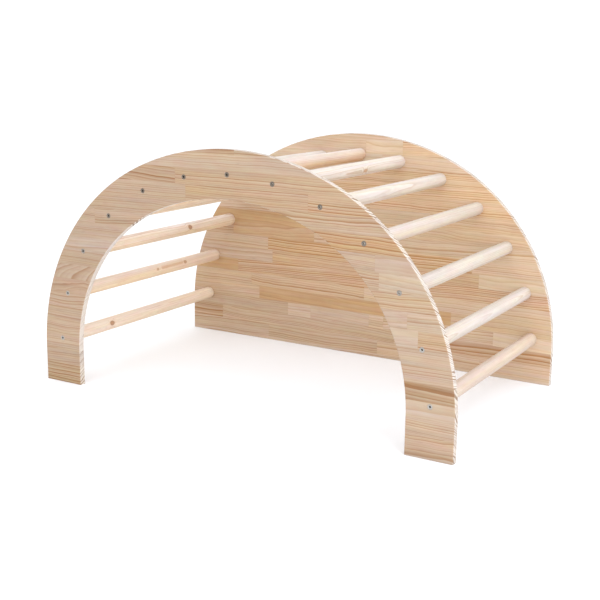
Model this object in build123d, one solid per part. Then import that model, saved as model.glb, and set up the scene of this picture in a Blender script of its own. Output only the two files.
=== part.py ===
from build123d import *
import math
import os

# A wooden climbing arch: an arch-shaped front panel and a solid back panel of the same outline,
# held apart by thirteen round rungs. One connector screw goes through the panel into each rung end.
#
# Frame: +X along the length, +Y from the arch panel to the solid panel, +Z up.
# The origin is on the floor, midway along the length and the depth. All sizes in millimetres.

# ---- Overall size ----
LENGTH = 1000.0           # over the two feet of either panel
HEIGHT = 550.0            # floor to crown
PANEL_THICKNESS = 15.0
RUNG_LENGTH = 555.0       # clear distance between the two panels
DEPTH = RUNG_LENGTH + 2 * PANEL_THICKNESS

# ---- Panel outline: straight legs, shoulder arcs and one crown arc, all tangent ----
LEG_STRAIGHT = 79.0       # height of the straight part of each leg
SHOULDER_RADIUS = 462.5   # outer edge of the panel
BAND_WIDTH = 99.0         # width of the arch panel, the same all the way round
ARRIS_RADIUS = 1.5        # rounding of the panels' long edges

# ---- Rungs ----
RUNG_DIAMETER = 30.0
RUNG_END_CHAMFER = 0.6
# Distance of each rung's axis from the crown, along the middle line of the band.
# The stations repeat on the other side of the crown.
RUNG_STATIONS = (0.0, 106.0, 218.0, 330.0, 443.0, 555.0, 663.0)

# ---- Connector screws: flush heads with a hexagon socket ----
SCREW_LENGTH = 50.0
SCREW_HEAD_DIAMETER = 10.5
SCREW_HEAD_RIM = 0.8      # cylindrical part of the head
SCREW_NECK_DIAMETER = 7.0
SCREW_NECK_LENGTH = 15.0  # plain part under the head, through the panel
SCREW_THREAD_DIAMETER = 6.4
SCREW_POINT_LENGTH = 4.0
SCREW_POINT_DIAMETER = 2.5
SCREW_SEAT_DEPTH = 0.2    # how far the head lies below the panel's face
SOCKET_ACROSS_FLATS = 4.0
SOCKET_DEPTH = 2.8
BORE_CLEARANCE = 0.1      # on the radius, around the neck and the thread
BORE_EXTRA_DEPTH = 3.0    # free bore beyond the screw's point

# ---- Worked out from the above ----
FRONT_Y = -DEPTH / 2
BACK_Y = DEPTH / 2
SHOULDER_X = LENGTH / 2 - SHOULDER_RADIUS
CROWN_RISE = HEIGHT - LEG_STRAIGHT - SHOULDER_RADIUS
CROWN_HALF_ANGLE = 2 * math.atan(CROWN_RISE / SHOULDER_X)
CROWN_RADIUS = SHOULDER_RADIUS + SHOULDER_X / math.sin(CROWN_HALF_ANGLE)
CROWN_Z = HEIGHT - CROWN_RADIUS
HEAD_CONE_LENGTH = (SCREW_HEAD_DIAMETER - SCREW_NECK_DIAMETER) / 2


def arch_face(inset):
    """Closed face under the panel's outline, drawn that far inside its outer edge.

    The crown is two arcs that meet at its highest point.
    """
    half_length = LENGTH / 2 - inset
    shoulder = SHOULDER_RADIUS - inset
    half_angle = math.degrees(CROWN_HALF_ANGLE)
    side_angle = 90 - half_angle
    edges = [
        Line((-half_length, 0), (half_length, 0)),
        Line((half_length, 0), (half_length, LEG_STRAIGHT)),
        CenterArc((SHOULDER_X, LEG_STRAIGHT), shoulder, 0, side_angle),
        CenterArc((0, CROWN_Z), CROWN_RADIUS - inset, side_angle, half_angle),
        CenterArc((0, CROWN_Z), CROWN_RADIUS - inset, 90, half_angle),
        CenterArc((-SHOULDER_X, LEG_STRAIGHT), shoulder, 90 + half_angle, side_angle),
        Line((-half_length, LEG_STRAIGHT), (-half_length, 0)),
    ]
    return Plane.XZ * make_face(edges)


def point_on_band(station):
    """X and Z of the point at that distance from the crown, on the middle line of the band."""
    inset = BAND_WIDTH / 2
    crown = CROWN_RADIUS - inset
    shoulder = SHOULDER_RADIUS - inset
    crown_length = crown * CROWN_HALF_ANGLE
    shoulder_length = shoulder * (math.pi / 2 - CROWN_HALF_ANGLE)
    if station <= crown_length:
        angle = station / crown
        return crown * math.sin(angle), CROWN_Z + crown * math.cos(angle)
    angle = CROWN_HALF_ANGLE + (station - crown_length) / shoulder
    if station <= crown_length + shoulder_length:
        return SHOULDER_X + shoulder * math.sin(angle), LEG_STRAIGHT + shoulder * math.cos(angle)
    return SHOULDER_X + shoulder, LEG_STRAIGHT - (station - crown_length - shoulder_length)


def rung_axes():
    """X and Z of every rung's axis, from the left foot over the crown to the right foot."""
    right = [point_on_band(station) for station in RUNG_STATIONS]
    left = [(-x, z) for x, z in reversed(right[1:])]
    return left + right


def toward_inside(x, z, outer_y, facing):
    """Location on a panel's outer face, with local +Z pointing through the panel into the rungs."""
    return Plane(origin=(x, outer_y, z), x_dir=(1, 0, 0), z_dir=(0, facing, 0)).location


def screw_profile(clearance, top, end):
    """Half section of a screw or of its bore from top to end, drawn with Z along the screw."""
    head = SCREW_HEAD_DIAMETER / 2
    neck = SCREW_NECK_DIAMETER / 2 + clearance
    thread = SCREW_THREAD_DIAMETER / 2 + clearance
    point = SCREW_POINT_DIAMETER / 2
    rim = SCREW_SEAT_DEPTH + SCREW_HEAD_RIM
    cone_end = rim + HEAD_CONE_LENGTH - clearance
    neck_end = SCREW_SEAT_DEPTH + SCREW_NECK_LENGTH
    outline = Polyline(
        (0, top), (head, top), (head, rim), (neck, cone_end), (neck, neck_end),
        (thread, neck_end), (thread, end - SCREW_POINT_LENGTH), (point, end), (0, end),
        close=True,
    )
    return Plane.XZ * make_face(outline)


def connector_screw():
    """One screw, its head's face at the seat depth and its shank along +Z."""
    end = SCREW_SEAT_DEPTH + SCREW_LENGTH
    profile = screw_profile(0, SCREW_SEAT_DEPTH, end)
    socket_sketch = RegularPolygon(SOCKET_ACROSS_FLATS / 2, 6, major_radius=False)
    socket = Pos(0, 0, SCREW_SEAT_DEPTH) * extrude(socket_sketch, SOCKET_DEPTH)
    return revolve(profile, Axis.Z) - socket


def screw_bore():
    """What one screw needs cut away from the panel and the rung, with its seat for the head."""
    end = SCREW_SEAT_DEPTH + SCREW_LENGTH + BORE_EXTRA_DEPTH
    profile = screw_profile(BORE_CLEARANCE, 0, end)
    return revolve(profile, Axis.Z)


def bored(body, locations):
    """The body with a screw bore cut at each location."""
    bore = screw_bore()
    return body - [location * bore for location in locations]


def rounded_panel(face, near_y):
    """A panel of that face, from near_y toward the back, with its long edges rounded."""
    board = Pos(0, near_y, 0) * extrude(face, -PANEL_THICKNESS)
    long_edges = [edge for edge in board.edges() if abs((edge @ 1).Y - (edge @ 0).Y) < 0.01]
    return fillet(long_edges, ARRIS_RADIUS)


def rung(x, z, screw_locations):
    """One round rung between the panels, bored for the screw at each end."""
    bar = Plane(origin=(x, 0, z), z_dir=(0, 1, 0)) * Cylinder(RUNG_DIAMETER / 2, RUNG_LENGTH)
    ends = bar.edges().filter_by(GeomType.CIRCLE)
    return bored(chamfer(ends, RUNG_END_CHAMFER), screw_locations)


def build():
    """Every node of the assembly, by name."""
    axes = rung_axes()
    front_screws = [toward_inside(x, z, FRONT_Y, 1) for x, z in axes]
    back_screws = [toward_inside(x, z, BACK_Y, -1) for x, z in axes]
    arch = arch_face(0) - arch_face(BAND_WIDTH)
    screw = connector_screw()
    nodes = {
        "front_arch_panel": bored(rounded_panel(arch, FRONT_Y), front_screws),
        "back_panel": bored(rounded_panel(arch_face(0), BACK_Y - PANEL_THICKNESS), back_screws),
        "front_connector_screws": Compound([location * screw for location in front_screws]),
        "back_connector_screws": Compound([location * screw for location in back_screws]),
    }
    for number, (x, z) in enumerate(axes, start=1):
        ends = [front_screws[number - 1], back_screws[number - 1]]
        nodes[f"rung_{number:02d}"] = rung(x, z, ends)
    return nodes


os.makedirs("parts", exist_ok=True)
for name, shape in build().items():
    export_step(shape, f"parts/{name}.step")
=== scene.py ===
import math
import random

import bmesh
import bpy
import numpy as np
from mathutils import Matrix, Vector
from mathutils.geometry import delaunay_2d_cdt


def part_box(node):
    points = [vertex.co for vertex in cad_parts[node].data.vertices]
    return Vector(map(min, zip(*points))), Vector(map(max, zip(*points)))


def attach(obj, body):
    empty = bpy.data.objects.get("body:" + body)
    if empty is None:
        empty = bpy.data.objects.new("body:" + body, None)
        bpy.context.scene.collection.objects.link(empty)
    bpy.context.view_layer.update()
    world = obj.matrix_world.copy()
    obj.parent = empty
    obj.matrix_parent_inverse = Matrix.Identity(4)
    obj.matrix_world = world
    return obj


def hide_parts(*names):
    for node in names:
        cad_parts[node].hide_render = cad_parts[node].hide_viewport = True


# A wooden climbing arch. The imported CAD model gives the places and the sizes; this script gives
# the looks. Both panels are glued up from finger-jointed pine staves, which run along X, and the
# rungs are turned pine, whose grain runs along Y. All lengths are in metres.

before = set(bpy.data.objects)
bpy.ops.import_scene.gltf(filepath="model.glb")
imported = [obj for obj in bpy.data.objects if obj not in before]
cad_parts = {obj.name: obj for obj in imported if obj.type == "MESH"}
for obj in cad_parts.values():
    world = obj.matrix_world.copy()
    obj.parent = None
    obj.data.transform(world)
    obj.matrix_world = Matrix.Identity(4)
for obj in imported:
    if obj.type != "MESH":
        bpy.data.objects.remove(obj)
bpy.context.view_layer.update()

# ---- Panel outline, as the CAD part has it ----
LEG_STRAIGHT = 0.079
SHOULDER_RADIUS = 0.4625
BAND_WIDTH = 0.099
ARRIS_RADIUS = 0.0015

# ---- Screws, as the CAD part has them ----
SEAT_DEPTH = 0.0002
HEAD_RADIUS = 0.00525
HEAD_RIM = 0.0008
NECK_RADIUS = 0.0035
NECK_LENGTH = 0.015
THREAD_RADIUS = 0.0032
CORE_RADIUS = 0.0023
THREAD_PITCH = 0.003
SCREW_LENGTH = 0.050
POINT_LENGTH = 0.004
POINT_RADIUS = 0.00125
SOCKET_ACROSS_FLATS = 0.004
SOCKET_DEPTH = 0.0028
BORE_CLEARANCE = 0.0001
BORE_EXTRA_DEPTH = 0.003

# ---- Small roundings, bevels and clearances ----
SEAT_CLEARANCE = 0.00002
SEAT_BEVEL = 0.0002       # around the mouth of a screw's hole
SOCKET_BEVEL = 0.00025
SOCKET_MOUTH = 1.12       # how much wider the socket is at its mouth
HEAD_BEVEL_FLAT = 0.0006  # the head's edge is rounded in two steps
HEAD_BEVEL_STEEP = 0.00025
HEAD_BEVEL_DROP = 0.00012
HEAD_BEVEL_DEPTH = 0.0004
NECK_BEVEL = 0.0004
TIP_BEVEL = 0.0003
BORE_STEP = 0.0003        # where a rung's bore widens for the screw's neck
RUNG_END_ROUNDING = 0.0006
RUNG_END_MIDDLE = 0.3     # the middle of that rounding, as a share of it

# ---- Painted light and shade on the screws' plating, as factors of its colour ----
LOW_SCREW_LIGHT = (1.35, 1.35, 1.35)    # painted light: how much lighter the lowest screws are drawn
BRIGHT_BELOW = 0.20
HIGH_SCREW_SHADE = (0.66, 0.59, 0.53)      # painted shade: how much darker and browner the screws near the crown are drawn
SHADED_ABOVE = 0.42
LOW_SOCKET_SHADE = 0.26                     # painted shade in a low screw's socket, against its head
HIGH_SOCKET_SHADE = 0.85                     # and in a high screw's
SOCKET_HIGHLIGHT = (2.0, 2.0, 2.0)        # painted highlight: sockets high on the right are drawn bright
HIGHLIGHT_ABOVE = 0.30
HIGHLIGHT_RIGHT_OF = 0.05

# ---- Fineness of the meshes ----
SHOULDER_STEPS = 60
CROWN_STEPS = 28          # half of the crown arc
LEG_STEPS = 6
FOOT_STEPS = 8
ARRIS_STEPS = 4
BASE_STEPS = 48           # along the solid panel's lower edge
HOLE_SEGMENTS = 36
RUNG_SEGMENTS = 72
RUNG_SLICES = 38
SCREW_SEGMENTS = 36       # a multiple of six, for the hexagon socket
THREAD_STEPS = 4          # rings per turn of the thread
SHARP_ANGLE = 30.0        # degrees from which a corner stays sharp

# ---- Staves ----
STAVE_HEIGHT = 0.0331
LOG_SHIFT = 5.0           # how far apart along the grain the logs' patterns are drawn
STAVE_LEAN = 0.03         # the steepest lean of a log's pith against its stave
PANEL_END = 1.0           # an X beyond the ends of every panel

# No two staves of a kind are quite alike: the factors of its log's depth and rise, of its rings'
# width and darkness and of its lightness, and what is added to its warmth and rosiness.
DEPTH_SPREAD = (0.85, 1.2)
RISE_SPREAD = (0.85, 1.15)
RING_SPREAD = (0.85, 1.15)
DARK_SPREAD = (0.85, 1.15)
LIGHT_SPREAD = (0.98, 1.02)
HUE_SPREAD = (-0.1, 0.1)
FLAT_FACE = 0.9999        # the Y of a face's normal from which the face is part of the flat side

# What each kind of stave looks like: how far behind the face and above the stave its log's pith
# lay, the width of its growth rings, how much the rings wave and how dark their latewood is, and
# the stave's lightness, warmth (toward orange) and rosiness (toward pink).
KINDS = {
    "plain": dict(depth=0.060, rise=0.075, ring=0.0040, wave=0.8, dark=0.55, tone=(1.00, 0.35, 0.25)),
    "fine": dict(depth=0.045, rise=0.080, ring=0.0036, wave=0.5, dark=0.48, tone=(1.00, 0.25, 0.25)),
    "lined": dict(depth=0.045, rise=0.080, ring=0.0038, wave=0.5, dark=1.40, tone=(1.09, 0.40, 0.45)),
    "pale": dict(depth=0.100, rise=0.050, ring=0.0044, wave=0.9, dark=0.28, tone=(1.07, 0.15, -0.20)),
    "pinkish": dict(depth=0.110, rise=0.045, ring=0.0045, wave=0.9, dark=0.30, tone=(0.97, 0.05, 0.42)),
    "wavy": dict(depth=0.050, rise=0.060, ring=0.0043, wave=1.5, dark=0.62, tone=(1.01, 0.55, 0.20)),
    "striped": dict(depth=0.045, rise=0.075, ring=0.0040, wave=0.7, dark=0.85, tone=(1.02, 0.85, 0.35)),
    "orange": dict(depth=0.090, rise=0.050, ring=0.0060, wave=1.0, dark=0.35, tone=(0.90, 1.75, 1.10)),
    "amber": dict(depth=0.090, rise=0.050, ring=0.0060, wave=1.0, dark=0.40, tone=(1.00, 1.35, 0.80)),
    "ashen": dict(depth=0.100, rise=0.055, ring=0.0042, wave=1.0, dark=0.40, tone=(1.00, -0.35, 0.20)),
    "dull": dict(depth=0.050, rise=0.065, ring=0.0043, wave=1.2, dark=0.60, tone=(0.91, 0.25, 0.10)),
    "light": dict(depth=0.060, rise=0.070, ring=0.0042, wave=0.9, dark=0.50, tone=(1.06, 0.20, 0.10)),
    # painted light: a kind drawn lighter and warmer for the back board's upper right, where light falls
    "sunny": dict(depth=0.045, rise=0.075, ring=0.0042, wave=0.9, dark=0.85, tone=(1.15, 0.68, 0.25)),
    "vivid": dict(depth=0.045, rise=0.075, ring=0.0046, wave=0.7, dark=1.15, tone=(1.05, 1.40, 0.60)),
    "banded": dict(depth=0.045, rise=0.070, ring=0.0062, wave=0.6, dark=1.55, tone=(1.11, 0.75, 0.10)),
    "mottled": dict(depth=0.100, rise=0.030, ring=0.0050, wave=2.2, dark=0.55, tone=(0.97, 0.50, 0.70)),
    "brown": dict(depth=0.045, rise=0.070, ring=0.0062, wave=0.6, dark=1.35, tone=(0.98, 0.80, 0.00)),
    "reddish": dict(depth=0.045, rise=0.055, ring=0.0068, wave=1.1, dark=1.00, tone=(0.95, 0.50, 0.80)),
    "dusky": dict(depth=0.045, rise=0.060, ring=0.0080, wave=1.0, dark=1.30, tone=(0.88, 0.85, 0.60)),
    "greyish": dict(depth=0.095, rise=0.055, ring=0.0042, wave=0.9, dark=0.34, tone=(0.97, 0.05, 0.35)),
    "cathedral": dict(depth=0.030, rise=0.004, ring=0.0036, wave=1.2, dark=0.50, tone=(0.98, 0.25, 0.30)),
}

CATHEDRAL_LEAN = -0.14    # that log's pith leans more, which draws nested arches on the face

# The staves of each course, from the floor up. A number is the X of the joint between two staves.
FRONT_FIRST_COURSE = 0.0115
FRONT_COURSES = [
    ["brown", 0.0, "dull"],
    ["brown", 0.0, "wavy"],
    ["plain", 0.0, "fine"],
    ["fine", 0.0, "pale"],
    ["wavy", 0.0, "dusky"],
    ["plain", 0.0, "fine"],
    ["wavy", 0.0, "fine"],
    ["mottled", 0.0, "pale", 0.421, "striped"],
    ["cathedral", 0.0, "pinkish", 0.398, "light"],
    ["fine", 0.0, "wavy"],
    ["ashen", 0.0, "plain", 0.338, "pale"],
    ["fine", 0.0, "fine", 0.329, "pinkish"],
    ["fine", -0.343, "wavy", 0.0, "vivid"],
    ["plain", 0.0, "wavy"],
    ["fine", -0.101, "striped", 0.185, "striped"],
    ["reddish", -0.127, "striped"],
    ["light"],
    ["reddish", 0.017, "plain"],
]
BACK_FIRST_COURSE = 0.008
BACK_COURSES = [
    ["ashen"],
    ["dull", -0.258, "dull", 0.060, "plain", 0.330, "fine"],
    ["dusky", -0.405, "dull", 0.105, "plain", 0.245, "reddish"],
    ["dull", -0.200, "ashen", -0.132, "greyish", 0.035, "light", 0.075, "light", 0.360, "pale"],
    ["plain", -0.288, "orange", 0.253, "wavy"],
    ["wavy", -0.313, "wavy", 0.020, "light"],
    ["orange", -0.355, "lined"],
    ["greyish", -0.248, "striped", 0.318, "pale"],
    ["plain", -0.262, "banded", 0.300, "light"],
    ["reddish", -0.370, "amber", -0.125, "light"],
    ["orange", -0.060, "wavy"],
    ["plain", -0.150, "fine", 0.190, "wavy"],
    # painted light: the lighter staves at the upper right of the back board
    ["wavy", 0.030, "sunny"],
    ["plain", -0.100, "sunny"],
    ["pale", -0.040, "sunny"],
    ["pale", 0.060, "light"],
    ["light", 0.015, "pale", 0.113, "sunny"],
    ["plain"],
]

# The panels' edges are drawn paler than their faces, which is painted light, with darker latewood.
EDGE_EARLY = (0.65, 0.585, 0.525)
EDGE_LATE = (0.28, 0.19, 0.13)
EDGE_CONTRAST = 1.6       # how strongly the latewood shows on the edges

# Courses whose left edges show little of their latewood.
SMOOTH_EDGES = range(3, 14)
SMOOTH_CONTRAST = 0.35

# ---- Rungs: the knots and marks. Each has its Y, the angle around the rung from +X, its radius,
# how many times longer than wide it is and how strongly it shows. ----
KNOTS = {
    "rung_01": [(-0.137, 18, 0.0036, 1.4, 0.85)],
    "rung_02": [
        (0.015, 24, 0.0016, 1.6, 0.6),
        (0.047, 26, 0.0017, 22.0, 0.38),
        (0.094, 27, 0.0017, 22.0, 0.38),
        (0.127, 26, 0.0024, 1.5, 0.7),
    ],
    "rung_03": [(0.083, 24, 0.0038, 1.3, 0.85)],
    "rung_08": [(0.075, -8, 0.0025, 1.9, 0.55)],
}
NO_KNOT_PLACE = (9.0, 9.0, 9.0)
NO_KNOT_SHAPE = (0.001, 1.0, 0.0)

# The rungs' lightness, warmth and rosiness, as for the staves: partly their own tone and partly painted
# light. The rungs on the left, inside the arch, are drawn lighter and warmer, and rung_10 and rung_13 on
# the right darker. The others' are drawn.
RUNG_TONES_AND_LIGHT = {
    "rung_01": (1.18, 0.32, 0.35),
    "rung_02": (1.16, 0.65, 0.8),
    "rung_03": (1.22, 0.45, 0.35),
    "rung_04": (1.16, 0.65, 0.4),
    "rung_06": (1.00, -0.35, -0.1),
    "rung_07": (0.98, 0.90, 1.30),
    "rung_08": (0.99, -0.30, 0.0),
    "rung_09": (0.94, -0.10, 0.0),
    "rung_10": (0.87, 0.20, 0.35),
    "rung_13": (0.85, 0.35, 0.80),
}

# Painted light and shade: how these change from a rung's middle to its underside, and the other way to
# its top. The tops are drawn paler and cooler, and the undersides warmer and, on some rungs, darker.
PLAIN_PAINTED_SHADING = (0.0, 0.2, 0.1)
RUNG_PAINTED_SHADING = {
    "rung_01": (-0.06, 0.3, 0.0),
    "rung_02": (-0.04, 0.6, 0.1),
    "rung_03": (-0.05, 0.8, 0.2),
    "rung_07": (-0.03, 1.2, 1.1),
    "rung_12": (-0.09, 0.1, 0.0),
    "rung_13": (-0.11, 0.2, 0.0),
}

# Each rung's log: the pith's distance from the axis, its lean and the rings' wave, width and
# darkness, and the lightness, warmth and rosiness of a rung whose tone isn't listed above.
RUNG_PITH = (0.018, 0.045)
RUNG_LEAN = 0.02
RUNG_WAVE = 0.6
RUNG_RING = (0.0024, 0.0036)
RUNG_DARK = (0.38, 0.60)
OTHER_LIGHT = (0.85, 0.90)
OTHER_WARMTH = (-0.3, 0.1)
OTHER_ROSINESS = (0, 0.25)

# ---- Colours of the wood's earlywood and latewood, and of the rest ----
FRONT_EARLY = (0.463, 0.348, 0.256)
FRONT_LATE = (0.305, 0.159, 0.072)
BACK_EARLY = (0.552, 0.410, 0.291)
BACK_LATE = (0.367, 0.190, 0.076)
RUNG_EARLY = (0.683, 0.595, 0.50)
RUNG_LATE = (0.52, 0.37, 0.255)
END_GRAIN_TINT = (0.93, 0.88, 0.82)
GLUE_LINE = (0.36, 0.22, 0.12)
KNOT_HALO_TINT = (0.95, 0.78, 0.62)
KNOT_RIM = (0.20, 0.10, 0.055)
WEAK_KNOT = (0.66, 0.34, 0.15)
STRONG_KNOT = (0.34, 0.17, 0.09)
ZINC_DARK = (0.28, 0.262, 0.235)
ZINC_LIGHT = (0.38, 0.355, 0.325)
ZINC_SCUFF = (0.42, 0.40, 0.37)
FLOOR_DARK = (0.958, 0.970, 0.988)
FLOOR_LIGHT = (0.970, 0.982, 0.996)

# ---- Figure of the wood, in metres ----
LONG_WAVE = 0.014         # how far the rings wander over a hand's breadth
SHORT_WAVE = 0.0052       # over a finger's breadth
RIPPLE = 0.0010
KNOT_PULL = 0.004         # how far the rings bend around a knot
RING_RELIEF = 0.000035
FIBRE_RELIEF = 0.00003
CANAL_DEPTH = 0.00005
GLUE_LINE_DEPTH = 0.00004
KNOT_RELIEF = 0.00006
GLUE_LINE_INNER = 0.0001  # a glue line fades out between these distances from the joint
GLUE_LINE_OUTER = 0.0004
GLUE_LINE_SHARE = 0.35    # how much of a glue line's colour shows

# How often each pattern repeats in a metre: along the grain, across it and up.
LONG_WAVE_RATE = (3.0, 5, 6)
SHORT_WAVE_RATE = (11, 13, 15)
RIPPLE_RATE = (32, 40, 50)
FIBRE_RATE = (22, 800, 800)
STREAK_RATE = (5, 120, 120)
CLOUD_RATE = (6, 20, 25)
CANAL_RATE = (45, 1500, 1500)
HUE_RATE = (5, 100, 100)
BLUSH_RATE = (28, 80, 80)
ACROSS_SHIFT = 3.7        # a log's patterns are shifted so much further across than along

# One year's growth, from 0 at its first wood to 1 at its last.
LATEWOOD_START = 0.15
LATEWOOD_PEAK = 0.92
LATEWOOD_CURVE = 1.5
FAINTEST_YEAR = 0.35
YEAR_CONTRAST = 1.1
YEAR_CURVE = 1.6
WIDTH_RATE = (0.38, 1, 1)  # per ring: how soon wide years turn into narrow ones
WIDTH_CHANGE = 2.2
FINE_LINES = 2.0          # weak lines in a year
FINE_LINE_START = 0.2
FINE_LINE_PEAK = 0.85
FINE_LINE_SHARE = 0.30

# How strongly each pattern changes the lightness, the warmth and the rosiness.
FIBRE_SHADE = 0.14
STREAK_SHADE = 0.30
CLOUD_SHADE = 0.20
CANAL_SHADE = -0.14
CANAL_EDGES = (0.70, 0.78)  # the noise from which a resin canal begins, and from which it is full
HUE_WARMTH = 2.3
HUE_ROSINESS = -1.5
BLUSH_ROSINESS = 3.0

# What one step of warmth or rosiness does to the green and to the blue.
WARM_GREEN = -0.05
WARM_BLUE = -0.20
ROSY_GREEN = -0.075
ROSY_BLUE = -0.06

# The part of a normal along the grain from which end grain begins to show, and from which it
# shows in full. The part along Y up to which a panel's sawn edge shows, and from which its face.
END_GRAIN_TURN = (0.25, 0.95)
EDGE_TURN = (0.35, 0.95)
EDGE_TINT_SHARE = 0.35    # how much of a stave's own tint its sawn edge keeps

WOOD_ROUGHNESS = 0.58
LATEWOOD_ROUGHNESS = -0.10
FIBRE_ROUGHNESS = 0.10
END_GRAIN_ROUGHNESS = 0.12
KNOT_ROUGHNESS = -0.12
WOOD_SPECULAR = 0.4

# Knots. Each fades between two distances from its middle, in its own radii.
KNOT_EDGES = (0.6, 1.1)
RIM_INNER_EDGES = (0.5, 0.85)
RIM_OUTER_EDGES = (0.9, 1.2)
HALO_EDGES = (0.8, 2.6)
PULL_EDGES = (0.8, 4.0)
RIM_SHARE = 0.8
RIM_CURVE = 2.5           # weak knots have hardly any rim
HALO_SHARE = 0.6
KNOT_WOBBLE_RATE = 260.0
KNOT_WOBBLE = 0.0022      # how uneven a knot's outline is
KNOT_WOBBLE_MEAN = 0.0019

# ---- Figure of the plating and of the floor, with the rates per metre as above ----
TURNING_RATE = (9000, 1, 1)
PLATING_CLOUD_RATE = (420, 420, 420)
SCUFF_RATE = (1500, 300, 900)
SCUFF_EDGES = (0.60, 0.75)
SCUFF_SHARE = 0.4
ZINC_ROUGHNESS = 0.24
CLOUD_ROUGHNESS = 0.18
SCUFF_ROUGHNESS = 0.12
TURNING_RELIEF = 0.000012
SCUFF_RELIEF = -0.000008
FLOOR_RATE = (1.5, 1.5, 1.5)
FLOOR_ROUGHNESS = 0.75
FLOOR_MOTTLE_ROUGHNESS = 0.1
FLOOR_SPECULAR = 0.2
FLOOR_RELIEF = 0.00001

# ---- Camera, light and surroundings ----
CAMERA_PLACE = (1.1720, -1.9999, 0.7249)
CAMERA_YAW = 30.397
CAMERA_PITCH = -12.946
CAMERA_ROLL = -0.704
CAMERA_LENS = 63.06
SENSOR_WIDTH = 36.0
CAMERA_REACH = 200.0
FLOOR_RADIUS = 60.0
FLOOR_SEGMENTS = 96
SURROUNDINGS = 1.12

# Each light's place, target, size, power and colour.
LIGHTS = {
    "key": ((2.4, -1.0, 2.6), (0, 0, 0.25), 2.0, 40, (0.86, 0.97, 1.12)),
    "side": ((2.9, -1.9, 0.55), (0, 0, 0.25), 1.2, 24, (0.98, 0.99, 1.02)),
    "top": ((0.3, -0.6, 1.8), (0, 0.1, 0.4), 1.2, 4.5, (0.88, 1.0, 1.18)),
}

front_low, front_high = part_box("front_arch_panel")
_, back_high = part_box("back_panel")
HALF_LENGTH = (front_high.x - front_low.x) / 2
HEIGHT = front_high.z
THICKNESS = front_high.y - front_low.y
RUNGS = sorted(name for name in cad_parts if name.startswith("rung_"))

SHOULDER_X = HALF_LENGTH - SHOULDER_RADIUS
CROWN_RISE = HEIGHT - LEG_STRAIGHT - SHOULDER_RADIUS
CROWN_HALF_ANGLE = 2 * math.atan(CROWN_RISE / SHOULDER_X)
CROWN_RADIUS = SHOULDER_RADIUS + SHOULDER_X / math.sin(CROWN_HALF_ANGLE)
CROWN_Z = HEIGHT - CROWN_RADIUS


def rung_centre(name):
    """X and Z of a rung's axis."""
    low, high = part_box(name)
    return (low.x + high.x) / 2, (low.z + high.z) / 2


AXES = [rung_centre(name) for name in RUNGS]


# ---------------------------------------------------------------- meshes

def new_object(name, bm, material):
    """An object of that mesh. Its faces point outward and its sharp corners stay sharp."""
    bmesh.ops.recalc_face_normals(bm, faces=bm.faces)
    mesh = bpy.data.meshes.new(name)
    bm.to_mesh(mesh)
    bm.free()
    mesh.materials.append(material)
    mesh.shade_smooth()
    mesh.set_sharp_from_angle(angle=math.radians(SHARP_ANGLE))
    piece = bpy.data.objects.new(name, mesh)
    bpy.context.scene.collection.objects.link(piece)
    return piece


def set_vectors(mesh, name, values):
    """One vector for each face, which the materials read by that name."""
    attribute = mesh.attributes.new(name, "FLOAT_VECTOR", "FACE")
    attribute.data.foreach_set("vector", np.asarray(values, np.float32).ravel())


def join_rings(bm, near, far):
    """Faces between two closed rings of vertices."""
    for i, vertex in enumerate(near):
        after = (i + 1) % len(near)
        bm.faces.new((vertex, near[after], far[after], far[i]))


def close_ring(bm, ring, tip):
    """A fan of faces from a ring to one point."""
    centre = bm.verts.new(tip)
    for i, vertex in enumerate(ring):
        bm.faces.new((vertex, ring[(i + 1) % len(ring)], centre))


def half_line(inset, foot):
    """X and Z along the right half of the panel's outline, from the foot to the crown."""
    side = HALF_LENGTH - inset
    shoulder = SHOULDER_RADIUS - inset
    crown = CROWN_RADIUS - inset
    points = []
    for i in range(LEG_STEPS):
        points.append((side, foot + (LEG_STRAIGHT - foot) * i / LEG_STEPS))
    for i in range(SHOULDER_STEPS):
        angle = math.pi / 2 + (CROWN_HALF_ANGLE - math.pi / 2) * i / SHOULDER_STEPS
        x = SHOULDER_X + shoulder * math.sin(angle)
        points.append((x, LEG_STRAIGHT + shoulder * math.cos(angle)))
    for i in range(CROWN_STEPS + 1):
        angle = CROWN_HALF_ANGLE * (1 - i / CROWN_STEPS)
        points.append((crown * math.sin(angle), CROWN_Z + crown * math.cos(angle)))
    return points


def full_line(inset, foot):
    """X and Z along the outline from the right foot over the crown to the left foot."""
    right = half_line(inset, foot)
    return right + [(-x, z) for x, z in reversed(right[:-1])]


def between(start, end, steps):
    """Points inside a straight line, without its ends."""
    a = Vector(start)
    b = Vector(end)
    return [tuple(a.lerp(b, i / steps)) for i in range(1, steps)]


def arch_loop(inset):
    """Closed outline of the arch panel, drawn that far inside its edges."""
    outer = full_line(inset, inset)
    inner = list(reversed(full_line(BAND_WIDTH - inset, inset)))
    left_foot = between(outer[-1], inner[0], FOOT_STEPS)
    right_foot = between(inner[-1], outer[0], FOOT_STEPS)
    return outer + left_foot + inner + right_foot


def board_loop(inset):
    """Closed outline of the solid panel, drawn that far inside its edges."""
    outer = full_line(inset, inset)
    return outer + between(outer[-1], outer[0], BASE_STEPS)


def edge_profile():
    """How far inside the outline, and how deep below the face, each ring of a panel's edge is."""
    near = []
    for i in range(ARRIS_STEPS + 1):
        angle = math.pi / 2 * i / ARRIS_STEPS
        near.append((ARRIS_RADIUS * (1 - math.sin(angle)), ARRIS_RADIUS * (1 - math.cos(angle))))
    return near + [(inset, THICKNESS - depth) for inset, depth in reversed(near)]


def inside(loop, points):
    """Whether each point lies inside a closed loop."""
    x, z = points.T
    result = np.zeros(len(points), bool)
    for (x1, z1), (x2, z2) in zip(loop, np.roll(loop, -1, axis=0)):
        if z1 != z2:
            crossing = (z1 > z) != (z2 > z)
            result ^= crossing & (x < (x2 - x1) * (z - z1) / (z2 - z1) + x1)
    return result


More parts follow.
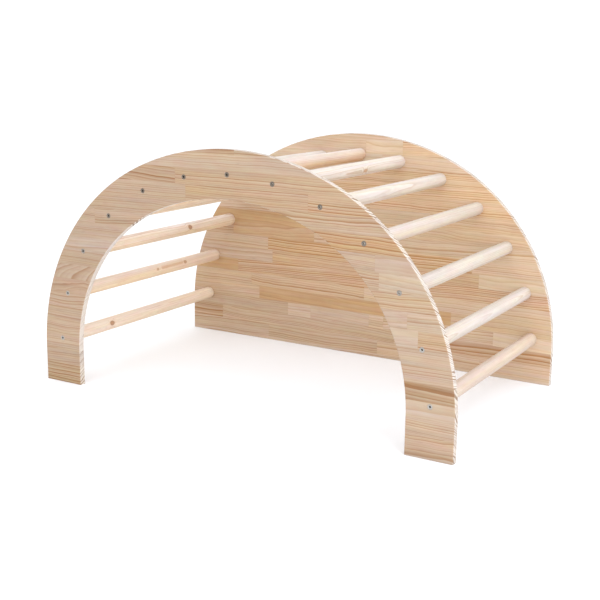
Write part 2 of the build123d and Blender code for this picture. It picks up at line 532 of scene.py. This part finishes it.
def fill_face(bm, rings):
    """A panel's flat face: the first ring is its outline and the others are its holes."""
    vertices = [vertex for ring in rings for vertex in ring]
    flat = [Vector((vertex.co.x, vertex.co.z)) for vertex in vertices]
    edges = []
    start = 0
    for ring in rings:
        count = len(ring)
        edges += [(start + i, start + (i + 1) % count) for i in range(count)]
        start += count
    _, _, triangles, origins, _, _ = delaunay_2d_cdt(flat, edges, [], 0, 1e-8)
    corners = np.array([[flat[origins[i][0]] for i in triangle] for triangle in triangles])
    centres = corners.mean(axis=1)
    solid = np.zeros(len(triangles), bool)
    for ring in rings:
        solid ^= inside(np.array([(vertex.co.x, vertex.co.z) for vertex in ring]), centres)
    for triangle, keep in zip(triangles, solid):
        if keep:
            bm.faces.new([vertices[origins[i][0]] for i in triangle])


def circle(bm, x, y, z, radius, segments):
    """A ring of vertices around an axis along Y."""
    ring = []
    for i in range(segments):
        angle = 2 * math.pi * i / segments
        ring.append(bm.verts.new((x + radius * math.cos(angle), y, z + radius * math.sin(angle))))
    return ring


def screw_hole(bm, x, z, face_y, facing):
    """The walls of one screw's hole; its rings at the outer and at the inner face."""
    neck = NECK_RADIUS + BORE_CLEARANCE
    seat = HEAD_RADIUS + SEAT_CLEARANCE
    rim = SEAT_DEPTH + HEAD_RIM
    profile = [
        (seat + SEAT_BEVEL, 0.0),
        (seat, SEAT_BEVEL),
        (seat, rim),
        (neck, rim + HEAD_RADIUS - NECK_RADIUS),
        (neck, THICKNESS),
    ]
    rings = [circle(bm, x, face_y + facing * depth, z, r, HOLE_SEGMENTS) for r, depth in profile]
    for near, far in zip(rings, rings[1:]):
        join_rings(bm, near, far)
    return rings[0], rings[-1]


def split_at(bm, faces, place, direction):
    """Cut those faces along a plane."""
    parts = set(faces)
    for face in faces:
        parts.update(face.edges)
        parts.update(face.verts)
    bmesh.ops.bisect_plane(bm, geom=list(parts), dist=1e-6, plane_co=place, plane_no=direction)


def course_heights(first, courses):
    """The Z of every glue line between two courses."""
    return [first + STAVE_HEIGHT * i for i in range(len(courses) - 1)]


def joints_of(course):
    """The X of every joint in a course."""
    return [entry for entry in course if not isinstance(entry, str)]


def panel_mesh(loop_at, outer_y, facing, first, courses):
    """A panel with its rounded edges and its screw holes, cut along every glue line."""
    bm = bmesh.new()
    rings = []
    for inset, depth in edge_profile():
        y = outer_y + facing * depth
        rings.append([bm.verts.new((x, y, z)) for x, z in loop_at(inset)])
    for near, far in zip(rings, rings[1:]):
        join_rings(bm, near, far)
    holes = [screw_hole(bm, x, z, outer_y, facing) for x, z in AXES]
    fill_face(bm, [rings[0]] + [hole[0] for hole in holes])
    fill_face(bm, [rings[-1]] + [hole[1] for hole in holes])
    for z in course_heights(first, courses):
        split_at(bm, list(bm.faces), (0, 0, z), (0, 0, 1))
    for index, course in enumerate(courses):
        low = first + STAVE_HEIGHT * (index - 1)
        for x in joints_of(course):
            faces = []
            for face in bm.faces:
                if low < face.calc_center_median().z < low + STAVE_HEIGHT:
                    faces.append(face)
            split_at(bm, faces, (x, 0, 0), (1, 0, 0))
    return bm


def log_of(kind, draw, centre_z, face_y, side, edge):
    """Where the log of one stave lay, how its rings run and what colour it is."""
    look = KINDS[kind]
    place = (
        draw.uniform(-LOG_SHIFT, LOG_SHIFT),
        face_y + look["depth"] * draw.uniform(*DEPTH_SPREAD),
        centre_z + side * look["rise"] * draw.uniform(*RISE_SPREAD),
    )
    lean = CATHEDRAL_LEAN if kind == "cathedral" else 0.0
    run = (
        lean + draw.uniform(-STAVE_LEAN, STAVE_LEAN),
        draw.uniform(-STAVE_LEAN, STAVE_LEAN),
        look["ring"] * draw.uniform(*RING_SPREAD),
    )
    light, warm, rosy = look["tone"]
    tone = (
        light * draw.uniform(*LIGHT_SPREAD),
        warm + draw.uniform(*HUE_SPREAD),
        rosy + draw.uniform(*HUE_SPREAD),
    )
    figure = (look["wave"], look["dark"] * draw.uniform(*DARK_SPREAD), edge)
    return place, run, tone, figure


def stave_logs(label, first, courses, face_y):
    """For every course, the joints' X and each stave's log.

    The pith of a course's first log lay below its stave, and the others' above theirs.
    """
    result = []
    for index, course in enumerate(courses):
        centre_z = first + STAVE_HEIGHT * (index - 0.5)
        logs = []
        for number, kind in enumerate(entry for entry in course if isinstance(entry, str)):
            draw = random.Random(f"{label} {index} {number}")
            side = 1 if number else -1
            smooth = index in SMOOTH_EDGES and not number
            edge = SMOOTH_CONTRAST if smooth else EDGE_CONTRAST
            logs.append(log_of(kind, draw, centre_z, face_y, side, edge))
        result.append((joints_of(course), logs))
    return result


def label_staves(piece, first, courses, face_y):
    """Give every face of a panel what the pine material needs to know about its stave."""
    staves = stave_logs(piece.name, first, courses, face_y)
    names = ("log_place", "log_run", "log_tone", "log_figure", "stave_span")
    rows = {name: [] for name in names}
    for polygon in piece.data.polygons:
        x, _, z = polygon.center
        index = min(max(math.ceil((z - first) / STAVE_HEIGHT), 0), len(courses) - 1)
        joints, logs = staves[index]
        number = sum(x > joint for joint in joints)
        ends = [-PANEL_END] + joints + [PANEL_END]
        low = first + STAVE_HEIGHT * (index - 1)
        span = (ends[number], ends[number + 1], low)
        for name, value in zip(names, (*logs[number], span)):
            rows[name].append(value)
        if abs(polygon.normal.y) > FLAT_FACE:
            polygon.use_smooth = False
    for name, values in rows.items():
        set_vectors(piece.data, name, values)


def panel(name, node, loop_at, facing, first, courses, material):
    """One glued-up panel in place of its CAD node."""
    low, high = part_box(node)
    outer_y = low.y if facing > 0 else high.y
    bm = panel_mesh(loop_at, outer_y, facing, first, courses)
    piece = new_object(name, bm, material)
    label_staves(piece, first, courses, low.y)
    finish_piece(piece, node)
    return piece


def finish_piece(piece, node):
    """A piece rides on the one body and stands for its CAD node."""
    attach(piece, "root")
    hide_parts(node)


def rung_profile(low_y, high_y, radius):
    """Radius and Y from the bottom of the front bore, around the rung, to the rear bore's."""
    thread = THREAD_RADIUS + BORE_CLEARANCE
    depth = SEAT_DEPTH + SCREW_LENGTH + BORE_EXTRA_DEPTH - THICKNESS
    neck = NECK_RADIUS + BORE_CLEARANCE
    neck_depth = SEAT_DEPTH + NECK_LENGTH - THICKNESS
    soft = RUNG_END_ROUNDING
    front = [
        (POINT_RADIUS, low_y + depth),
        (thread, low_y + depth - POINT_LENGTH),
        (thread, low_y + neck_depth + BORE_STEP),
        (neck, low_y + neck_depth),
        (neck, low_y),
        (radius - soft, low_y),
        (radius - soft * RUNG_END_MIDDLE, low_y + soft * RUNG_END_MIDDLE),
        (radius, low_y + soft),
    ]
    back = [(r, low_y + high_y - y) for r, y in reversed(front)]
    first = front[-1][1]
    last = back[0][1]
    body = []
    for i in range(1, RUNG_SLICES):
        body.append((radius, first + (last - first) * i / RUNG_SLICES))
    return front + body + back


def surface_point(x, z, radius, y, degrees):
    """A point on a rung's surface."""
    angle = math.radians(degrees)
    return x + radius * math.cos(angle), y, z + radius * math.sin(angle)


def rung(name, material):
    """One turned rung in place of its CAD node."""
    low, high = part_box(name)
    x, z = rung_centre(name)
    radius = (high.z - low.z) / 2
    bm = bmesh.new()
    profile = rung_profile(low.y, high.y, radius)
    rings = [circle(bm, x, y, z, r, RUNG_SEGMENTS) for r, y in profile]
    for near, far in zip(rings, rings[1:]):
        join_rings(bm, near, far)
    close_ring(bm, rings[0], (x, profile[0][1], z))
    close_ring(bm, rings[-1], (x, profile[-1][1], z))
    piece = new_object(name.replace("rung", "turned_rung"), bm, material)
    label_rung(piece, name, x, z, radius)
    finish_piece(piece, name)
    return piece


def label_rung(piece, name, x, z, radius):
    """Give every face of a rung what the pine material needs to know about its log and knots, and its
    painted light and shade.
    """
    draw = random.Random(name)
    angle = draw.uniform(0, 2 * math.pi)
    away = draw.uniform(*RUNG_PITH)
    shift = draw.uniform(-LOG_SHIFT, LOG_SHIFT)
    place = (shift, x + away * math.cos(angle), z + away * math.sin(angle))
    run = (
        draw.uniform(-RUNG_LEAN, RUNG_LEAN),
        draw.uniform(-RUNG_LEAN, RUNG_LEAN),
        draw.uniform(*RUNG_RING),
    )
    drawn_tone = tuple(draw.uniform(*r) for r in (OTHER_LIGHT, OTHER_WARMTH, OTHER_ROSINESS))
    tone = RUNG_TONES_AND_LIGHT.get(name, drawn_tone)
    figure = (RUNG_WAVE, draw.uniform(*RUNG_DARK), 0.0)
    knots = []
    for y, degrees, *shape in KNOTS.get(name, []):
        knots.append((Vector(surface_point(x, z, radius, y, degrees)), shape))
    painted_shading = Vector(RUNG_PAINTED_SHADING.get(name, PLAIN_PAINTED_SHADING))
    tones_with_painted_shading = []
    places = []
    shapes = []
    for polygon in piece.data.polygons:
        # painted light and shade: the tone shifts with how far the face looks up or down
        tones_with_painted_shading.append(Vector(tone) - painted_shading * polygon.normal.z)
        near, shape = Vector(NO_KNOT_PLACE), NO_KNOT_SHAPE
        if knots:
            near, shape = min(knots, key=lambda knot: abs(knot[0].y - polygon.center.y))
        places.append(near)
        shapes.append(shape)
    count = len(piece.data.polygons)
    rows = {"log_place": place, "log_run": run, "log_figure": figure}
    for attribute, value in rows.items():
        set_vectors(piece.data, attribute, [value] * count)
    set_vectors(piece.data, "log_tone", tones_with_painted_shading)
    set_vectors(piece.data, "knot_place", places)
    set_vectors(piece.data, "knot_shape", shapes)


def hexagon_radius(angle):
    """Distance from the socket's middle to its wall in that direction."""
    turn = (angle + math.pi / 6) % (math.pi / 3) - math.pi / 6
    return SOCKET_ACROSS_FLATS / 2 / math.cos(turn)


def screw_rings():
    """Depth and radius of each ring of a screw, where a negative radius is the hexagon's scale."""
    top = SEAT_DEPTH
    rim = top + HEAD_RIM
    neck_start = rim + HEAD_RADIUS - NECK_RADIUS
    neck_end = top + NECK_LENGTH
    return [
        (top + SOCKET_DEPTH, -1.0),
        (top + SOCKET_BEVEL, -1.0),
        (top, -SOCKET_MOUTH),
        (top, HEAD_RADIUS - HEAD_BEVEL_FLAT),
        (top + HEAD_BEVEL_DROP, HEAD_RADIUS - HEAD_BEVEL_STEEP),
        (top + HEAD_BEVEL_DEPTH, HEAD_RADIUS),
        (rim, HEAD_RADIUS),
        (neck_start, NECK_RADIUS),
        (neck_end - NECK_BEVEL, NECK_RADIUS),
        (neck_end, CORE_RADIUS),
    ]


def thread_radius(depth, angle, start, end):
    """Radius of the thread's ridge at that depth and angle."""
    phase = (depth - start) / THREAD_PITCH - angle / (2 * math.pi)
    ridge = max(0.0, 1 - abs((phase % 1) - 0.5) * 4)
    fade = min(1.0, (depth - start) / THREAD_PITCH, (end - depth) / THREAD_PITCH)
    return CORE_RADIUS + (THREAD_RADIUS - CORE_RADIUS) * ridge * max(fade, 0)


def add_screw(bm, x, z, face_y, facing, turn):
    """One connector screw, its socket turned by that angle."""
    angles = [2 * math.pi * i / SCREW_SEGMENTS for i in range(SCREW_SEGMENTS)]

    def ring(depth, radius_at):
        made = []
        for angle in angles:
            radius = radius_at(angle)
            across = x + radius * math.cos(angle + turn)
            up = z + radius * math.sin(angle + turn)
            made.append(bm.verts.new((across, face_y + facing * depth, up)))
        return made

    rings = []
    for depth, size in screw_rings():
        if size < 0:
            rings.append(ring(depth, lambda angle, scale=-size: hexagon_radius(angle) * scale))
        else:
            rings.append(ring(depth, lambda angle, radius=size: radius))
    start = SEAT_DEPTH + NECK_LENGTH
    end = SEAT_DEPTH + SCREW_LENGTH - POINT_LENGTH
    steps = round((end - start) / THREAD_PITCH * THREAD_STEPS)
    for i in range(1, steps + 1):
        depth = start + (end - start) * i / steps
        rings.append(ring(depth, lambda angle, d=depth: thread_radius(d, angle, start, end)))
    tip = SEAT_DEPTH + SCREW_LENGTH
    rings.append(ring(tip - TIP_BEVEL, lambda angle: POINT_RADIUS))
    for near, far in zip(rings, rings[1:]):
        join_rings(bm, near, far)
    close_ring(bm, rings[0], (x, face_y + facing * (SEAT_DEPTH + SOCKET_DEPTH), z))
    close_ring(bm, rings[-1], (x, face_y + facing * tip, z))


def screws(name, node, face_y, facing, material):
    """All the screws of one panel in place of their CAD node."""
    bm = bmesh.new()
    draw = random.Random(name)
    for x, z in AXES:
        add_screw(bm, x, z, face_y, facing, draw.uniform(0, math.pi / 3))
    piece = new_object(name, bm, material)
    centres = []
    lights_and_shades = []
    for polygon in piece.data.polygons:
        here = (polygon.center.x, polygon.center.z)
        x, z = min(AXES, key=lambda axis: math.dist(axis, here))
        centres.append((x, face_y, z))
        # Painted light and shade: the low screws are drawn lighter and the high ones darker. Their
        # sockets are darker still, and the sockets high on the right get a painted highlight.
        share = min(max((z - BRIGHT_BELOW) / (SHADED_ABOVE - BRIGHT_BELOW), 0.0), 1.0)
        light_and_shade = Vector(LOW_SCREW_LIGHT).lerp(Vector(HIGH_SCREW_SHADE), share)
        if math.dist((x, z), here) < SOCKET_ACROSS_FLATS / 2:
            light_and_shade *= LOW_SOCKET_SHADE + (HIGH_SOCKET_SHADE - LOW_SOCKET_SHADE) * share
            if x > HIGHLIGHT_RIGHT_OF and z > HIGHLIGHT_ABOVE:
                light_and_shade = SOCKET_HIGHLIGHT
        lights_and_shades.append(light_and_shade)
    set_vectors(piece.data, "screw_centre", centres)
    set_vectors(piece.data, "screw_plating", lights_and_shades)
    finish_piece(piece, node)
    return piece


# ---------------------------------------------------------------- materials

class Nodes:
    """Short ways to add the nodes of one material."""

    def __init__(self, name):
        self.material = bpy.data.materials.new(name)
        self.material.use_nodes = True
        self.tree = self.material.node_tree
        self.shader = self.tree.nodes["Principled BSDF"]

    def add(self, kind, inputs, output=0, **settings):
        made = self.tree.nodes.new("ShaderNode" + kind)
        for name, value in settings.items():
            setattr(made, name, value)
        for key, value in inputs.items():
            if isinstance(value, bpy.types.NodeSocket):
                self.tree.links.new(value, made.inputs[key])
            else:
                made.inputs[key].default_value = value
        return made.outputs[output]

    def math(self, operation, *values):
        return self.add("Math", dict(enumerate(values)), operation=operation)

    def vector(self, operation, *values, output=0):
        return self.add("VectorMath", dict(enumerate(values)), output, operation=operation)

    def split(self, socket):
        parts = self.tree.nodes.new("ShaderNodeSeparateXYZ")
        self.tree.links.new(socket, parts.inputs[0])
        return parts.outputs[0], parts.outputs[1], parts.outputs[2]

    def combine(self, x, y, z):
        return self.add("CombineXYZ", {0: x, 1: y, 2: z})

    def attribute(self, name):
        return self.add("Attribute", {}, "Vector", attribute_name=name)

    def noise(self, place, stretch, detail=2.0, roughness=0.5):
        scaled = self.vector("MULTIPLY", place, stretch)
        inputs = {"Vector": scaled, "Scale": 1.0, "Detail": detail, "Roughness": roughness}
        return self.add("TexNoise", inputs, 0)

    def ramp(self, value, low, high, to_low=0.0, to_high=1.0):
        inputs = {"Value": value, 1: low, 2: high, 3: to_low, 4: to_high}
        return self.add("MapRange", inputs, interpolation_type="SMOOTHSTEP")

    def blend(self, factor, first, second, mode="MIX"):
        made = self.tree.nodes.new("ShaderNodeMix")
        made.data_type = "RGBA"
        made.blend_type = mode
        for key, value in ((0, factor), (6, first), (7, second)):
            if isinstance(value, bpy.types.NodeSocket):
                self.tree.links.new(value, made.inputs[key])
            elif key == 0:
                made.inputs[key].default_value = value
            else:
                made.inputs[key].default_value = (*value, 1.0)
        return made.outputs[2]

    def finish(self, colour, roughness, height):
        bump = {"Strength": 1.0, "Distance": 1.0, "Height": height}
        normal = self.add("Bump", bump)
        self.tree.links.new(colour, self.shader.inputs["Base Color"])
        self.tree.links.new(roughness, self.shader.inputs["Roughness"])
        self.tree.links.new(normal, self.shader.inputs["Normal"])
        return self.material


def pine(name, grain_axis, early, late, staved):
    """Solid pine: growth rings around the log's pith, fibres, resin canals, knots and glue lines."""
    n = Nodes(name)
    place = n.add("TexCoord", {}, "Object")
    x, y, z = n.split(place)
    along, across = (x, y) if grain_axis == "X" else (y, x)
    seed, pith_across, pith_up = n.split(n.attribute("log_place"))
    slope_across, slope_up, ring_width = n.split(n.attribute("log_run"))
    # Lightness, warmth and rosiness: the wood's own tone, with painted light on some staves and rungs and
    # painted shading on the rungs.
    light, warm, rosy = n.split(n.attribute("log_tone"))
    wave, dark, edge = n.split(n.attribute("log_figure"))
    shift = n.math("MULTIPLY", seed, ACROSS_SHIFT)
    grain = n.combine(n.math("ADD", along, seed), n.math("ADD", across, shift), z)

    # The growth rings: the distance from the pith, bent by waves, in ring widths.
    long_wave = n.math("SUBTRACT", n.noise(grain, LONG_WAVE_RATE, 1.0), 0.5)
    short_wave = n.math("SUBTRACT", n.noise(grain, SHORT_WAVE_RATE, 1.0), 0.5)
    ripple = n.math("SUBTRACT", n.noise(grain, RIPPLE_RATE, 1.0), 0.5)
    warp = n.math("MULTIPLY_ADD", long_wave, LONG_WAVE, n.math("MULTIPLY", short_wave, SHORT_WAVE))
    warp = n.math("MULTIPLY_ADD", ripple, RIPPLE, warp)
    warp = n.math("MULTIPLY", warp, wave)
    centre_across = n.math("MULTIPLY_ADD", slope_across, along, pith_across)
    centre_up = n.math("MULTIPLY_ADD", slope_up, along, pith_up)
    side = n.math("SUBTRACT", across, centre_across)
    rise = n.math("SUBTRACT", z, centre_up)
    reach = n.vector("LENGTH", n.combine(side, rise, 0.0), output="Value")
    reach = n.math("ADD", reach, warp)
    if not staved:
        knot, knot_edge, halo, knot_pull, heart = knot_nodes(n, place)
        reach = n.math("MULTIPLY_ADD", knot_pull, KNOT_PULL, reach)

    # Each year darkens slowly into its latewood and ends sharply. No two years are alike.
    rings = n.math("DIVIDE", reach, ring_width)
    uneven = n.noise(n.combine(rings, seed, 0.0), WIDTH_RATE, 1.0)
    rings = n.math("MULTIPLY_ADD", uneven, WIDTH_CHANGE, rings)
    phase = n.math("FRACT", rings)
    ring_number = n.math("ADD", n.math("FLOOR", rings), seed)
    year = n.add("TexWhiteNoise", {"W": ring_number}, noise_dimensions="1D")
    rising = n.math("POWER", n.ramp(phase, LATEWOOD_START, LATEWOOD_PEAK), LATEWOOD_CURVE)
    falling = n.ramp(phase, LATEWOOD_PEAK, 1.0, 1.0, 0.0)
    year = n.math("POWER", year, YEAR_CURVE)
    strength = n.math("MULTIPLY_ADD", year, YEAR_CONTRAST, FAINTEST_YEAR)
    latewood = n.math("MULTIPLY", n.math("MULTIPLY", rising, falling), strength)
    fine_phase = n.math("FRACT", n.math("MULTIPLY", rings, FINE_LINES))
    fine_rising = n.ramp(fine_phase, FINE_LINE_START, FINE_LINE_PEAK)
    fine_falling = n.ramp(fine_phase, FINE_LINE_PEAK, 1.0, 1.0, 0.0)
    fine_line = n.math("MULTIPLY", fine_rising, fine_falling)
    latewood_shown = n.math("MULTIPLY_ADD", fine_line, FINE_LINE_SHARE, latewood)
    latewood_shown = n.math("MULTIPLY", latewood_shown, dark)

    # Fibres, streaks, soft clouds and resin canals, all drawn out along the grain.
    fibre = n.noise(grain, FIBRE_RATE, 3.0, 0.6)
    streak = n.noise(grain, STREAK_RATE, 2.0)
    cloud = n.noise(grain, CLOUD_RATE, 2.0)
    canal = n.ramp(n.noise(grain, CANAL_RATE, 0.0), *CANAL_EDGES)

    # Colour: lightness, then how far it leans to orange and to pink.
    colour = n.blend(n.math("MINIMUM", latewood_shown, 1.0), early, late)
    shade = n.math("MULTIPLY_ADD", n.math("SUBTRACT", fibre, 0.5), FIBRE_SHADE, 1.0)
    shade = n.math("MULTIPLY_ADD", n.math("SUBTRACT", streak, 0.5), STREAK_SHADE, shade)
    shade = n.math("MULTIPLY_ADD", n.math("SUBTRACT", cloud, 0.5), CLOUD_SHADE, shade)
    shade = n.math("MULTIPLY_ADD", canal, CANAL_SHADE, shade)
    shade = n.math("MULTIPLY", shade, light)
    hue = n.math("SUBTRACT", n.noise(grain, HUE_RATE, 2.0), 0.5)
    warm = n.math("MULTIPLY_ADD", hue, HUE_WARMTH, warm)
    rosy = n.math("MULTIPLY_ADD", hue, HUE_ROSINESS, rosy)
    blush = n.math("SUBTRACT", n.noise(grain, BLUSH_RATE, 2.0), 0.5)
    rosy = n.math("MULTIPLY_ADD", blush, BLUSH_ROSINESS, rosy)
    green = n.math("MULTIPLY_ADD", rosy, ROSY_GREEN, 1.0)
    green = n.math("MULTIPLY_ADD", warm, WARM_GREEN, green)
    blue = n.math("MULTIPLY_ADD", warm, WARM_BLUE, 1.0)
    blue = n.math("MULTIPLY_ADD", rosy, ROSY_BLUE, blue)
    tint = n.combine(shade, n.math("MULTIPLY", shade, green), n.math("MULTIPLY", shade, blue))
    colour = n.blend(1.0, colour, tint, "MULTIPLY")

    # The panels' sawn edges, drawn paler with painted light, and the rungs' cut ends.
    normal = n.split(n.add("NewGeometry", {}, "Normal"))
    toward_end = n.math("ABSOLUTE", normal[0 if grain_axis == "X" else 1])
    end_grain = n.ramp(toward_end, *END_GRAIN_TURN)
    if staved:
        on_edge = n.ramp(n.math("ABSOLUTE", normal[1]), *EDGE_TURN, 1.0, 0.0)
        edge_latewood = n.math("MINIMUM", n.math("MULTIPLY", latewood, edge), 1.0)
        # painted light: the edges are paler than the faces, with their latewood
        edge_grain_and_light = n.blend(edge_latewood, EDGE_EARLY, EDGE_LATE)
        edge_grain_and_light = n.blend(EDGE_TINT_SHARE, edge_grain_and_light, n.blend(1.0, edge_grain_and_light, tint, "MULTIPLY"))
        colour = n.blend(on_edge, colour, edge_grain_and_light)
    else:
        cut_across = n.blend(1.0, colour, END_GRAIN_TINT, "MULTIPLY")
        colour = n.blend(end_grain, colour, cut_across)

    # Relief and sheen, and then the glue lines or the knots.
    height = n.math("MULTIPLY", latewood, RING_RELIEF)
    height = n.math("MULTIPLY_ADD", fibre, FIBRE_RELIEF, height)
    height = n.math("MULTIPLY_ADD", canal, -CANAL_DEPTH, height)
    roughness = n.math("MULTIPLY_ADD", latewood, LATEWOOD_ROUGHNESS, WOOD_ROUGHNESS)
    roughness = n.math("MULTIPLY_ADD", fibre, FIBRE_ROUGHNESS, roughness)
    roughness = n.math("MULTIPLY_ADD", end_grain, END_GRAIN_ROUGHNESS, roughness)
    if staved:
        glue = glue_nodes(n, x, z)
        colour = n.blend(n.math("MULTIPLY", glue, GLUE_LINE_SHARE), colour, GLUE_LINE)
        height = n.math("MULTIPLY_ADD", glue, -GLUE_LINE_DEPTH, height)
    else:
        resinous = n.blend(1.0, colour, KNOT_HALO_TINT, "MULTIPLY")
        colour = n.blend(halo, colour, resinous)
        colour = n.blend(knot, colour, heart)
        colour = n.blend(knot_edge, colour, KNOT_RIM)
        height = n.math("MULTIPLY_ADD", knot, KNOT_RELIEF, height)
        roughness = n.math("MULTIPLY_ADD", knot, KNOT_ROUGHNESS, roughness)
    n.shader.inputs["Specular IOR Level"].default_value = WOOD_SPECULAR
    return n.finish(colour, roughness, height)


def knot_nodes(n, place):
    """How much each point belongs to a knot, its rim, halo and bent grain, and the knot's colour."""
    size, length, strength = n.split(n.attribute("knot_shape"))
    away = n.vector("SUBTRACT", place, n.attribute("knot_place"))
    away = n.vector("DIVIDE", away, n.combine(1.0, length, 1.0))
    wobble = n.add("TexNoise", {"Vector": place, "Scale": KNOT_WOBBLE_RATE}, 1)
    wobble = n.vector("SCALE", wobble)
    wobble.node.inputs["Scale"].default_value = KNOT_WOBBLE
    distance = n.vector("LENGTH", n.vector("ADD", away, wobble), output="Value")
    distance = n.math("SUBTRACT", distance, KNOT_WOBBLE_MEAN)
    ratio = n.math("DIVIDE", distance, size)
    knot = n.math("MULTIPLY", n.ramp(ratio, *KNOT_EDGES, 1.0, 0.0), strength)
    rim_inner = n.ramp(ratio, *RIM_INNER_EDGES)
    rim = n.math("MULTIPLY", rim_inner, n.ramp(ratio, *RIM_OUTER_EDGES, RIM_SHARE, 0.0))
    rim = n.math("MULTIPLY", rim, n.math("POWER", strength, RIM_CURVE))
    halo = n.math("MULTIPLY", n.ramp(ratio, *HALO_EDGES, HALO_SHARE, 0.0), strength)
    pull = n.ramp(ratio, *PULL_EDGES, 1.0, 0.0)
    heart = n.blend(strength, WEAK_KNOT, STRONG_KNOT)
    return knot, rim, halo, pull, heart


def glue_nodes(n, x, z):
    """How much each point lies on a glue line around its stave."""
    start, end, low = n.split(n.attribute("stave_span"))
    ends = n.math("MINIMUM", n.math("SUBTRACT", x, start), n.math("SUBTRACT", end, x))
    above = n.math("SUBTRACT", z, low)
    below = n.math("SUBTRACT", STAVE_HEIGHT, above)
    nearest = n.math("MINIMUM", ends, n.math("MINIMUM", above, below))
    return n.ramp(nearest, GLUE_LINE_INNER, GLUE_LINE_OUTER, 1.0, 0.0)


def zinc():
    """Zinc-plated steel: faint turning marks around each screw, cloudy plating, scuffs, and each screw's
    painted light and shade.
    """
    n = Nodes("zinc_plated_steel")
    place = n.add("TexCoord", {}, "Object")
    away = n.vector("SUBTRACT", place, n.attribute("screw_centre"))
    reach = n.vector("LENGTH", n.vector("MULTIPLY", away, (1.0, 0.0, 1.0)), output="Value")
    turning = n.noise(n.combine(reach, 0.0, 0.0), TURNING_RATE, 2.0)
    cloud = n.noise(place, PLATING_CLOUD_RATE, 3.0)
    scuff = n.ramp(n.noise(place, SCUFF_RATE, 2.0), *SCUFF_EDGES)
    colour = n.blend(cloud, ZINC_DARK, ZINC_LIGHT)
    colour = n.blend(n.math("MULTIPLY", scuff, SCUFF_SHARE), colour, ZINC_SCUFF)
    # Each screw's painted light, the painted shade in its socket and its painted highlight.
    colour = n.blend(1.0, colour, n.attribute("screw_plating"), "MULTIPLY")
    roughness = n.math("MULTIPLY_ADD", cloud, CLOUD_ROUGHNESS, ZINC_ROUGHNESS)
    roughness = n.math("MULTIPLY_ADD", scuff, SCUFF_ROUGHNESS, roughness)
    height = n.math("MULTIPLY", turning, TURNING_RELIEF)
    height = n.math("MULTIPLY_ADD", scuff, SCUFF_RELIEF, height)
    n.shader.inputs["Metallic"].default_value = 1.0
    return n.finish(colour, roughness, height)


def floor_material():
    """Pale seamless studio floor with a barely visible mottle."""
    n = Nodes("studio_floor")
    place = n.add("TexCoord", {}, "Object")
    mottle = n.noise(place, FLOOR_RATE, 3.0)
    colour = n.blend(mottle, FLOOR_DARK, FLOOR_LIGHT)
    roughness = n.math("MULTIPLY_ADD", mottle, FLOOR_MOTTLE_ROUGHNESS, FLOOR_ROUGHNESS)
    n.shader.inputs["Specular IOR Level"].default_value = FLOOR_SPECULAR
    return n.finish(colour, roughness, n.math("MULTIPLY", mottle, FLOOR_RELIEF))


# ---------------------------------------------------------------- studio

def add_camera():
    """The camera at the photograph's place and angle."""
    data = bpy.data.cameras.new("photo_camera")
    data.sensor_width = SENSOR_WIDTH
    data.lens = CAMERA_LENS
    data.clip_end = CAMERA_REACH
    camera = bpy.data.objects.new("photo_camera", data)
    turn = Matrix.Rotation(math.radians(CAMERA_YAW), 4, "Z")
    turn @= Matrix.Rotation(math.radians(CAMERA_PITCH), 4, "X")
    turn @= Matrix.Rotation(math.radians(CAMERA_ROLL), 4, "Y")
    turn @= Matrix.Rotation(math.radians(90), 4, "X")
    camera.matrix_world = Matrix.Translation(CAMERA_PLACE) @ turn
    bpy.context.scene.collection.objects.link(camera)
    bpy.context.scene.camera = camera


def add_light(name, place, target, size, power, colour):
    """A square soft light that faces the target."""
    data = bpy.data.lights.new(name, "AREA")
    data.size = size
    data.energy = power
    data.color = colour
    light = bpy.data.objects.new(name, data)
    light.location = place
    light.rotation_euler = (Vector(target) - Vector(place)).to_track_quat("-Z", "Y").to_euler()
    bpy.context.scene.collection.objects.link(light)


def add_floor(material):
    """A round floor, large enough that its rim lies at the horizon."""
    bm = bmesh.new()
    bmesh.ops.create_circle(bm, cap_ends=True, segments=FLOOR_SEGMENTS, radius=FLOOR_RADIUS)
    floor = new_object("studio_floor", bm, material)


def set_surroundings(strength):
    """An even white surrounding, as in a light tent."""
    world = bpy.data.worlds.new("light_tent")
    world.use_nodes = True
    background = world.node_tree.nodes["Background"]
    background.inputs["Color"].default_value = (1.0, 1.0, 1.0, 1.0)
    background.inputs["Strength"].default_value = strength
    bpy.context.scene.world = world
    bpy.context.scene.view_settings.view_transform = "Standard"


# ---------------------------------------------------------------- the object

front_pine = pine("pine_staves_front", "X", FRONT_EARLY, FRONT_LATE, True)
back_pine = pine("pine_staves_back", "X", BACK_EARLY, BACK_LATE, True)
rung_pine = pine("turned_pine", "Y", RUNG_EARLY, RUNG_LATE, False)
steel = zinc()

panel("front_arch", "front_arch_panel", arch_loop, 1, FRONT_FIRST_COURSE, FRONT_COURSES, front_pine)
panel("back_board", "back_panel", board_loop, -1, BACK_FIRST_COURSE, BACK_COURSES, back_pine)
for rung_name in RUNGS:
    rung(rung_name, rung_pine)
screws("front_screws", "front_connector_screws", front_low.y, 1, steel)
screws("back_screws", "back_connector_screws", back_high.y, -1, steel)

add_floor(floor_material())
add_camera()
set_surroundings(SURROUNDINGS)
for light_name, settings in LIGHTS.items():
    add_light(light_name, *settings)
